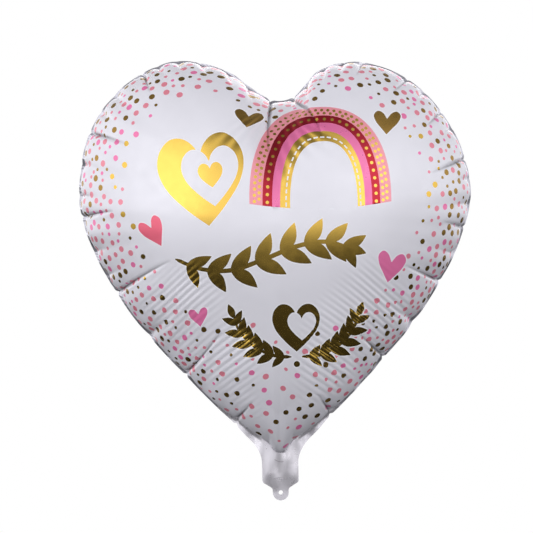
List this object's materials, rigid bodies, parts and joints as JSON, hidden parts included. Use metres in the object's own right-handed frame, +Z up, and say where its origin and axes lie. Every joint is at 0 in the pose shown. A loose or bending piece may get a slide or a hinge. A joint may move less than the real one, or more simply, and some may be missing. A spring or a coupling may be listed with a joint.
{
  "type": "heart-shaped foil balloon",
  "caption": "Inflated heart-shaped foil balloon with a printed front, sealed edge, flat tail that folds at the neck, ribbon hole and self-sealing film valve.",
  "frame": {"origin": "centre of the ribbon hole in the tail's tab, on the plane of the seal", "axes": "+Z up towards the lobes, +Y from the printed front to the back, X across the heart"},
  "size_m": [0.3802, 0.175, 0.4259],
  "materials": {
    "printed_foil": "pearl white metallised film, printed in gold and pinks",
    "valve_film": "clear polyethylene film"
  },
  "bodies": {
    "balloon": {"front_foil_panel": "printed_foil", "back_foil_panel": "printed_foil", "front_valve_film": "valve_film", "back_valve_film": "valve_film"},
    "tail": {"front_foil_tail": "printed_foil", "back_foil_tail": "printed_foil", "front_valve_mouth": "valve_film", "back_valve_mouth": "valve_film"}
  },
  "joints": [
    {"name": "tail_fold", "type": "hinge", "parent": "balloon", "child": "tail", "pos_m": [0, 0, 0.036], "axis": [1, 0, 0], "range_deg": [-60, 60]}
  ]
}
